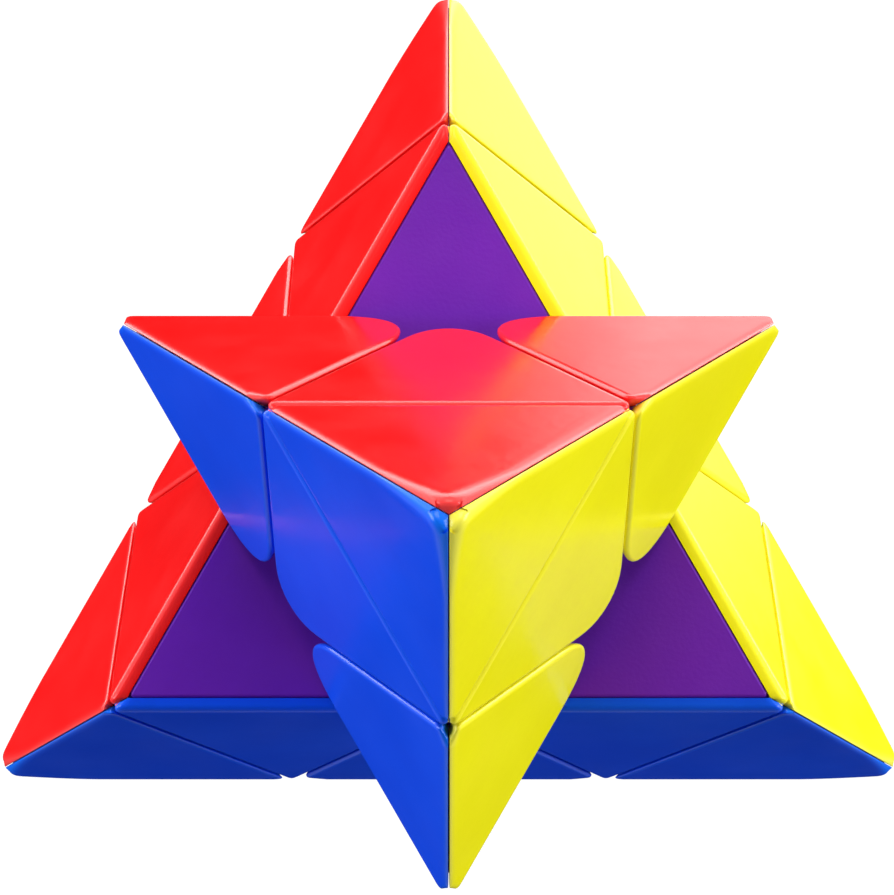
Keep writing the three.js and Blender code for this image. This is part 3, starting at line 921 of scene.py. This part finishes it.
@dataclass
class Tips:
    """The four corner tips: three caps on a hollow shell with a snap peg that turns in the centre piece."""

    lattice: Lattice
    caps: CapMaker
    end_reach: float = 1.1  # rounding of a ridge's end at the slot
    peg_radius: float = 3.9
    peg_wall: float = 1.4
    peg_length: float = 9.5
    bead_height: float = 0.55
    bead_width: float = 1.2
    bead_from_end: float = 1.8
    blunting: float = 1.0  # cut off the shell's sharp corner
    rounding: ShellRounding = ShellRounding()

    @property
    def lug_place(self) -> Vector:
        """The middle of the cap's facelet."""
        points = [self.lattice.corner_point(TOP), self.lattice.ridge_point(TOP, LEFT),
                  self.lattice.ridge_point(TOP, RIGHT)]
        return sum(points, Vector()) / 3

    def cap(self) -> Solid:
        """The cap of the top tip on the face across from the rear corner."""
        lattice = self.lattice
        planes = [above(TOP, lattice.tip_cut + lattice.gap / 2)]
        mitres = [lattice.mitre(REAR, LEFT), lattice.mitre(REAR, RIGHT)]
        solid = self.caps.make(REAR, planes, mitres, self.end_reach)
        return solid.plus(lattice.lug(REAR, self.lug_place, lattice.corner_point(TOP)))

    def shape(self, inset: float) -> Solid:
        """The outside of the shell, or with an inset its hollow."""
        lattice = self.lattice
        blunt = lattice.corner - 3 * (lattice.thickness + lattice.clearance) - self.blunting
        planes = [above(TOP, lattice.tip_cut + lattice.gap / 2 + inset), below(TOP, blunt - inset)]
        planes += [lattice.shell_face(face, inset) for face in (REAR, LEFT, RIGHT)]
        return Solid.between(planes)

    def shell(self) -> Solid:
        """The shell of the top tip with its peg."""
        lattice = self.lattice
        body = self.shape(0.0)
        sides = [lattice.shell_face(face) for face in (REAR, LEFT, RIGHT)]
        self.rounding.apply(body, sides)
        end = lattice.tip_cut - self.peg_length
        root = lattice.tip_cut + lattice.wall
        bead, top = end + self.bead_from_end, self.peg_radius + self.bead_height
        peg = Solid.turned([
            (0, end), (self.peg_radius - self.bead_height, end), (self.peg_radius, bead - self.bead_height),
            (top, bead), (top, bead + self.bead_width),
            (self.peg_radius, bead + self.bead_width + self.bead_height), (self.peg_radius, root), (0, root),
        ])
        bore = self.peg_radius - self.peg_wall
        body.plus(peg).minus(self.shape(lattice.wall))
        low, high = end - OVERCUT, root + OVERCUT
        body.minus(Solid.turned([(0, low), (bore, low), (bore, high), (0, high)]))
        for face in (REAR, LEFT, RIGHT):
            pocket = lattice.pocket(REAR, self.lug_place, lattice.corner_point(TOP))
            body.minus(pocket.moved(carry(TOP, face)))
        return body

    def build(self, workshop: Workshop) -> None:
        """Makes all four tips."""
        cap, shell = self.cap().finished("tip_cap"), self.shell().finished("tip_shell")
        for corner in Corner:
            label, body = corner.label, f"tip_{corner.label}"
            workshop.place(shell, f"tip_{label}_shell", f"tip_{label}_body", body, FINISHES["purple"],
                           upright_at(corner))
            for face in others(corner):
                colour = face.colour
                workshop.place(cap, f"tip_{label}_plate_{colour}", f"tip_{label}_cap_{colour}", body,
                               FINISHES[colour], carry(corner, face))


def layer_body(corner: Corner) -> str:
    """The frame's body that a corner's centre piece belongs to."""
    return "top_layer" if corner is TOP else "base"


@dataclass
class Centres:
    """The four centre pieces: three caps on an eight-sided shell with the stem that turns on a core arm."""

    lattice: Lattice
    caps: CapMaker
    tips: Tips
    corner_radius: float = 4.3  # at the middle of a face
    ridge_corner_radius: float = 0.72
    end_reach: float = 0.8  # rounding of a ridge's end at a slot
    socket_radius: float = 13.95
    stem_start: float = 9.4
    stem_floor: float = 2.0
    stem_radius: float = 5.0
    shank_bore: float = 1.55
    spring_bore: float = 3.1
    peg_clearance: float = 0.3
    tube_wall: float = 1.8
    rounding: ShellRounding = ShellRounding()

    @property
    def lug_place(self) -> Vector:
        """The middle of the cap's facelet."""
        points = [self.lattice.face_centre(REAR), self.lattice.ridge_point(TOP, LEFT),
                  self.lattice.ridge_point(TOP, RIGHT)]
        return sum(points, Vector()) / 3

    def cap(self) -> Solid:
        """The cap of the top centre piece on the face across from the rear corner."""
        lattice, half = self.lattice, self.lattice.gap / 2
        planes = [below(TOP, lattice.tip_cut - half)]
        planes += [below(side, lattice.layer_cut - half) for side in (LEFT, RIGHT)]
        mitres = [lattice.mitre(REAR, LEFT), lattice.mitre(REAR, RIGHT)]
        corners = [RoundCorner(lattice.face_centre(REAR), self.corner_radius)]
        corners += [RoundCorner(lattice.ridge_point(TOP, side), self.ridge_corner_radius)
                    for side in (LEFT, RIGHT)]
        solid = self.caps.make(REAR, planes, mitres, self.end_reach, corners)
        return solid.plus(lattice.lug(REAR, self.lug_place, lattice.corner_point(TOP)))

    def shape(self, inset: float) -> Solid:
        """The outside of the shell, or with an inset its hollow."""
        lattice, half = self.lattice, self.lattice.gap / 2
        middle = TOP.axis * lattice.face
        # The shell's corner at the middle of a face is cut off just behind the cap's rounded corner
        reach = lattice.side / math.sqrt(2) - SHELL_CUT * self.corner_radius * math.sqrt(2 / 3)
        planes = [below(TOP, lattice.tip_cut - half - inset), above(TOP, lattice.layer_cut + half + inset)]
        for face in (REAR, LEFT, RIGHT):
            outwards = (lattice.face_centre(face) - middle).normalized()
            planes += [lattice.shell_face(face, inset), below(face, lattice.layer_cut - half - inset),
                       HalfSpace(outwards, outwards.dot(middle) + reach - inset)]
        return Solid.between(planes)

    def bores(self) -> Solid:
        """All that is cut out round the axis: the screw's hole, the spring's bore and the tip's socket."""
        tips, floor = self.tips, self.stem_start + self.stem_floor
        start, mouth = self.stem_start - OVERCUT, self.lattice.tip_cut + OVERCUT
        end = self.lattice.tip_cut - tips.peg_length
        radius, deep = tips.peg_radius + self.peg_clearance, tips.bead_height
        groove = end + tips.bead_from_end - self.peg_clearance
        groove_end = groove + tips.bead_width + 2 * self.peg_clearance
        bottom = end - self.peg_clearance
        return Solid.turned([
            (0, start), (self.shank_bore, start), (self.shank_bore, floor),
            (self.spring_bore, floor), (self.spring_bore, bottom), (radius, bottom), (radius, groove - deep),
            (radius + deep, groove), (radius + deep, groove_end), (radius, groove_end + deep),
            (radius, mouth), (0, mouth),
        ])

    def shell(self) -> Solid:
        """The shell of the top centre piece."""
        lattice = self.lattice
        body = self.shape(0.0)
        sides = [lattice.shell_face(face) for face in (REAR, LEFT, RIGHT)]
        self.rounding.apply(body, sides)
        tips = self.tips
        tube = tips.peg_radius + self.peg_clearance + tips.bead_height + self.tube_wall
        hollow = self.shape(lattice.wall)
        hollow.minus(Solid.turned([(0, 0), (tube, 0), (tube, lattice.corner), (0, lattice.corner)]))
        hollow.minus(Solid.ball(self.socket_radius + lattice.wall))
        body.minus(hollow).minus(Solid.ball(self.socket_radius))
        top = self.socket_radius + lattice.wall
        body.plus(Solid.turned([(0, self.stem_start), (self.stem_radius, self.stem_start),
                                (self.stem_radius, top), (0, top)]))
        body.minus(self.bores())
        for face in (REAR, LEFT, RIGHT):
            pocket = lattice.pocket(REAR, self.lug_place, lattice.corner_point(TOP))
            body.minus(pocket.moved(carry(TOP, face)))
        return body

    def build(self, workshop: Workshop) -> None:
        """Makes all four centre pieces."""
        cap, shell = self.cap().finished("centre_cap"), self.shell().finished("centre_shell")
        for corner in Corner:
            label, body = corner.label, layer_body(corner)
            workshop.place(shell, f"centre_{label}_shell", f"centre_{label}_body", body, FINISHES["purple"],
                           upright_at(corner))
            for face in others(corner):
                colour = face.colour
                workshop.place(cap, f"centre_{label}_plate_{colour}", f"centre_{label}_cap_{colour}", body,
                               FINISHES[colour], carry(corner, face))


@dataclass
class Edges:
    """The six edge pieces: two caps on a four-sided shell with a curved foot that runs in the ball track."""

    lattice: Lattice
    caps: CapMaker
    corner_radius: float = 5.5  # at the middle of a face
    end_reach: float = 2.6  # rounding of a ridge's end at a slot
    foot_outer: float = 13.6
    foot_thickness: float = 3.0
    foot_cut: float = 2.18
    rounding: ShellRounding = ShellRounding(edge=0.6)

    @property
    def ridge_middle(self) -> Vector:
        """The middle of the ridge between the top and rear corners."""
        return self.lattice.corner_point(TOP).lerp(self.lattice.corner_point(REAR), 0.5)

    @property
    def lug_place(self) -> Vector:
        """The middle of the cap's facelet."""
        points = [self.lattice.face_centre(LEFT), self.lattice.ridge_point(TOP, REAR),
                  self.lattice.ridge_point(REAR, TOP)]
        return sum(points, Vector()) / 3

    def cap(self) -> Solid:
        """The cap of the edge between the top and rear corners on the face across from the left corner."""
        lattice, half = self.lattice, self.lattice.gap / 2
        planes = [above(side, lattice.layer_cut + half) for side in (TOP, REAR)]
        corners = [RoundCorner(lattice.face_centre(LEFT), self.corner_radius)]
        solid = self.caps.make(LEFT, planes, [lattice.mitre(LEFT, RIGHT)], self.end_reach, corners)
        return solid.plus(lattice.lug(LEFT, self.lug_place, self.ridge_middle))

    def shape(self, inset: float) -> Solid:
        """The outside of the shell, or with an inset its hollow."""
        lattice = self.lattice
        points = [lattice.ridge_point(TOP, REAR), lattice.ridge_point(REAR, TOP),
                  lattice.face_centre(LEFT), lattice.face_centre(RIGHT)]
        middle = sum(points, Vector()) / len(points)
        planes = [above(side, lattice.layer_cut + lattice.gap / 2 + inset) for side in (TOP, REAR)]
        for face in (LEFT, RIGHT):
            outwards = (lattice.face_centre(face) - middle).normalized()
            # As on the centre pieces, cut off just behind the cap's rounded corner
            reach = outwards.dot(lattice.face_centre(face)) - SHELL_CUT * self.corner_radius * math.sin(TILT)
            planes += [lattice.shell_face(face, inset), HalfSpace(outwards, reach - inset)]
        return Solid.between(planes)

    def foot(self) -> Solid:
        """The curved foot in the ball track under two centre pieces."""
        half = self.lattice.gap / 2
        track = [above(side, self.foot_cut + half) for side in (TOP, REAR)]
        track += [below(side, self.foot_cut - half) for side in (LEFT, RIGHT)]
        foot = Solid.ball(self.foot_outer).minus(Solid.ball(self.foot_outer - self.foot_thickness))
        return foot.common(Solid.between(track, stock=3 * self.foot_outer))

    def shell(self) -> Solid:
        """The shell of the edge between the top and rear corners, with its foot."""
        lattice = self.lattice
        body = self.shape(0.0)
        sides = [lattice.shell_face(face) for face in (LEFT, RIGHT)]
        self.rounding.apply(body, sides)
        body.plus(self.foot()).minus(self.shape(lattice.wall))
        for turn in (carry(TOP, REAR), carry(REAR, TOP)):
            body.minus(lattice.pocket(LEFT, self.lug_place, self.ridge_middle).moved(turn))
        return body

    def build(self, workshop: Workshop) -> None:
        """Makes all six edge pieces."""
        cap, shell = self.cap().finished("edge_cap"), self.shell().finished("edge_shell")
        pairs = [(TOP, REAR), (TOP, LEFT), (TOP, RIGHT), (REAR, LEFT), (LEFT, RIGHT), (RIGHT, REAR)]
        for first, second in pairs:
            label = f"edge_{first.label}_{second.label}"
            body = layer_body(first)
            workshop.place(shell, f"{label}_shell", f"{label}_body", body, FINISHES["purple"],
                           carry(first, second))
            for face in others(first, second):
                turns = (carry(first, second), carry(second, first))
                turn = min(turns, key=lambda way: (way @ LEFT.axis - face.axis).length)
                colour = face.colour
                workshop.place(cap, f"{label}_plate_{colour}", f"{label}_cap_{colour}", body,
                               FINISHES[colour], turn)


@dataclass
class CoreUnit:
    """The core with its four arms, and the screw and spring that hold a centre piece on each."""

    ball_radius: float = 7.6
    arm_radius: float = 3.6
    arm_end: float = 9.1
    arm_chamfer: float = 0.4
    thread_bore: float = 1.35
    hole_start: float = 2.9
    screw_radius: float = 1.25
    head_height: float = 2.3
    head_upright: float = 0.35  # share of the head's height below its crown
    recess_width: float = 0.8
    recess_length: float = 3.0
    recess_depth: float = 1.3
    wire_radius: float = 0.36
    coil_radius: float = 2.15
    coils: float = 3.5  # open coils, between one closed coil at each end
    coil_steps: int = 24

    def core(self) -> Solid:
        """The ball with an arm and a screw hole on each axis."""
        body = Solid.ball(self.ball_radius, segments=48)
        radius, end, top = self.arm_radius, self.arm_end, self.arm_end + OVERCUT
        shoulder, brim = end - self.arm_chamfer, radius - self.arm_chamfer
        arm = [(0, 0), (radius, 0), (radius, shoulder), (brim, end), (0, end)]
        hole = [(0, self.hole_start), (self.thread_bore, self.hole_start), (self.thread_bore, top), (0, top)]
        for corner in Corner:
            body.plus(Solid.turned(arm, segments=40).moved(upright_at(corner)))
        for corner in Corner:
            body.minus(Solid.turned(hole, segments=24).moved(upright_at(corner)))
        return body

    def screw(self) -> Solid:
        """The pan-head screw on the top axis."""
        low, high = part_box("screw_top")
        start, end, head_radius = low.z / MM, high.z / MM, high.x / MM
        under, point = end - self.head_height, self.screw_radius / 2
        brim = under + self.head_height * self.head_upright
        crown = [(head_radius * math.cos(angle), brim + (end - brim) * math.sin(angle))
                 for angle in (math.radians(15 * step) for step in range(6))]
        outline = [(0, start), (point, start), (self.screw_radius, start + point), (self.screw_radius, under),
                   (head_radius, under), *crown, (0, end)]
        body = Solid.turned(outline, segments=32)
        sides = (self.recess_width, self.recess_length)
        for width, length in (sides, sides[::-1]):
            slot = Solid(bmesh.new())
            bmesh.ops.create_cube(slot.mesh, size=1.0)
            size = Matrix.Diagonal((width, length, 2 * self.recess_depth, 1.0))
            body.minus(slot.moved(Matrix.Translation((0, 0, end)) @ size))
        return body

    def spring(self) -> Solid:
        """The compression spring on the top axis, with one closed coil at each end."""
        low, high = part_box("spring_top")
        start, end = low.z / MM + self.wire_radius, high.z / MM - self.wire_radius
        closed = 2.05 * self.wire_radius  # rise of a closed coil, which just clears the one below
        open_rise = (end - start - 2 * closed) / self.coils
        mesh = bmesh.new()
        upright = Matrix.Translation((self.coil_radius, 0, start)) @ Matrix.Rotation(math.pi / 2, 4, "X")
        ring = bmesh.ops.create_circle(mesh, segments=10, radius=self.wire_radius, matrix=upright)
        last = ring["verts"] + mesh.edges[:]
        for turns, rise in ((1.0, closed), (self.coils, open_rise), (1.0, closed)):
            swept = bmesh.ops.spin(mesh, geom=last, cent=(0, 0, 0), axis=(0, 0, 1), angle=math.tau * turns,
                                   dvec=(0, 0, rise / self.coil_steps), steps=round(self.coil_steps * turns))
            last = swept["geom_last"]
        bmesh.ops.holes_fill(mesh, edges=[edge for edge in mesh.edges if edge.is_boundary])
        return Solid(mesh).mended()

    def build(self, workshop: Workshop) -> None:
        """Makes the core, the four screws and the four springs."""
        workshop.place(self.core().finished("core"), "core_ball", "core", "base", FINISHES["core"],
                       Matrix.Identity(4))
        screw, spring = self.screw().finished("screw"), self.spring().finished("spring")
        for corner in Corner:
            upright, label = upright_at(corner), corner.label
            workshop.place(screw, f"pan_screw_{label}", f"screw_{label}", "base", SCREW_STEEL, upright)
            workshop.place(spring, f"coil_spring_{label}", f"spring_{label}", "base", SPRING_STEEL, upright)


@dataclass(frozen=True)
class Softbox:
    """A square softbox that looks at the object."""

    name: str
    azimuth: float  # direction it stands in, in degrees from +X
    elevation: float  # above the horizon, in degrees
    power: float  # in watts
    tint: tuple[float, float, float]
    size: float
    distance: float = 0.9

    def build(self) -> None:
        """Makes the lamp and turns it to the object."""
        light = bpy.data.lights.new(self.name, "AREA")
        light.color = self.tint
        light.shape = "SQUARE"
        light.size = self.size
        light.energy = self.power
        lamp = bpy.data.objects.new(self.name, light)
        out = axis_at(math.radians(90 - self.elevation), self.azimuth)
        lamp.location = out * self.distance
        lamp.rotation_mode = "QUATERNION"
        lamp.rotation_quaternion = out.to_track_quat("Z", "Y")
        bpy.context.scene.collection.objects.link(lamp)


WARM, COOL = (1.0, 0.95, 0.88), (0.86, 0.92, 1.0)
SOFTBOXES = (
    Softbox("back_softbox", 90.0, 50.0, 4.9, WARM, size=0.6),
    Softbox("right_softbox", 2.0, 18.0, 7.2, COOL, size=0.5),
    Softbox("left_softbox", 178.0, 18.0, 6.2, COOL, size=0.5),
)


@dataclass(frozen=True)
class Ramp:
    """A soft step along one axis of the direction that the room is seen in."""

    axis: str
    start: float
    end: float
    low: float
    high: float


# Two pale parts of the room, each the product of its ramps: a screen low at the back right, and a band round
# the back just below the horizon, which the bends of the ridges and rims mirror
SCREEN = (Ramp("X", 0.0, 0.08, 0.0, 1.0), Ramp("X", 0.2, 0.45, 1.0, 0.55), Ramp("Y", 0.18, 0.3, 0.0, 1.0),
          Ramp("Z", -0.6, -0.4, 2.0, 0.0))
BAND = (Ramp("Z", -0.66, -0.48, 0.0, 8.0), Ramp("Z", -0.3, -0.1, 1.0, 0.22), Ramp("Z", 0.25, 0.5, 1.0, 0.08),
        Ramp("Y", 0.05, 0.4, 0.07, 1.0))


@dataclass
class Studio:
    """A pale floor, soft lights, a dim room and the camera straight above."""

    camera_height: float = 0.2932
    camera_y: float = 0.0013
    lens: float = 115.15
    sensor: float = 36.0
    shift_x: float = -0.002
    shift_y: float = 0.0577
    floor_size: float = 3.0  # from the middle to a side
    floor_gap: float = 0.0003  # under the object, so that the two surfaces don't coincide
    floor_grey: float = 0.12
    floor_glow: float = 1.0
    floor_roughness: float = 0.9

    def floor(self) -> None:
        """The pale floor, which glossy plastic doesn't mirror."""
        mesh = bmesh.new()
        bmesh.ops.create_grid(mesh, x_segments=1, y_segments=1, size=self.floor_size)
        bmesh.ops.translate(mesh, verts=mesh.verts[:], vec=(0, 0, CAD_BOX[0].z - self.floor_gap))
        data = bpy.data.meshes.new("floor")
        mesh.to_mesh(data)
        mesh.free()
        floor = bpy.data.objects.new("floor", data)
        bpy.context.scene.collection.objects.link(floor)
        material, _, inputs = blank_material("pale_floor")
        inputs["Base Color"].default_value = (self.floor_grey, self.floor_grey, self.floor_grey, 1.0)
        inputs["Roughness"].default_value = self.floor_roughness
        inputs["Specular IOR Level"].default_value = 0.0
        inputs["Emission Color"].default_value = (1.0, 1.0, 1.0, 1.0)
        inputs["Emission Strength"].default_value = self.floor_glow
        data.materials.append(material)
        floor.visible_glossy = False

    def world(self) -> None:
        """The dim room, for the gloss to mirror."""
        world = bpy.data.worlds.new("room")
        bpy.context.scene.world = world
        world.use_nodes = True
        recipe = Recipe(world.node_tree)
        split = recipe.node("ShaderNodeSeparateXYZ")
        recipe.link(recipe.node("ShaderNodeTexCoord").outputs["Generated"], split.inputs["Vector"])

        def join(operation: str, *values: bpy.types.NodeSocket) -> bpy.types.NodeSocket:
            """Two values added or multiplied."""
            made = recipe.node("ShaderNodeMath")
            made.operation = operation
            for value, socket in zip(values, made.inputs):
                recipe.link(value, socket)
            return made.outputs["Value"]

        def product(ramps: Sequence[Ramp]) -> bpy.types.NodeSocket:
            """The product of some ramps."""
            steps = (recipe.spread(split.outputs[ramp.axis], ramp.start, ramp.end, ramp.low, ramp.high,
                                   soft=True) for ramp in ramps)
            return reduce(partial(join, "MULTIPLY"), steps)

        background = world.node_tree.nodes["Background"].inputs
        background["Color"].default_value = (1.0, 1.0, 1.0, 1.0)
        recipe.link(join("ADD", product(SCREEN), product(BAND)), background["Strength"])

    def camera(self) -> None:
        """The camera, straight above and upright to +Y."""
        data = bpy.data.cameras.new("camera")
        data.lens = self.lens
        data.sensor_width = self.sensor
        data.shift_x = self.shift_x
        data.shift_y = self.shift_y
        camera = bpy.data.objects.new("camera", data)
        camera.location = (0.0, self.camera_y, self.camera_height)
        bpy.context.scene.collection.objects.link(camera)
        bpy.context.scene.camera = camera

    def build(self) -> None:
        """Sets up everything that isn't the puzzle."""
        self.camera()
        self.floor()
        self.world()
        for softbox in SOFTBOXES:
            softbox.build()
        bpy.context.scene.view_settings.view_transform = "Standard"


def main() -> None:
    """Builds the puzzle and its studio, and reports each piece."""
    logging.basicConfig(level=logging.INFO, format="%(message)s")
    lattice = Lattice(face=-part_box("centre_rear_cap_green")[0].z / MM)
    caps = CapMaker(lattice, Softening(lattice))
    workshop = Workshop()
    tips = Tips(lattice, caps)
    tips.build(workshop)
    Centres(lattice, caps, tips).build(workshop)
    Edges(lattice, caps).build(workshop)
    CoreUnit().build(workshop)
    Studio().build()
    bpy.context.view_layer.update()


if __name__ == "__main__":
    main()
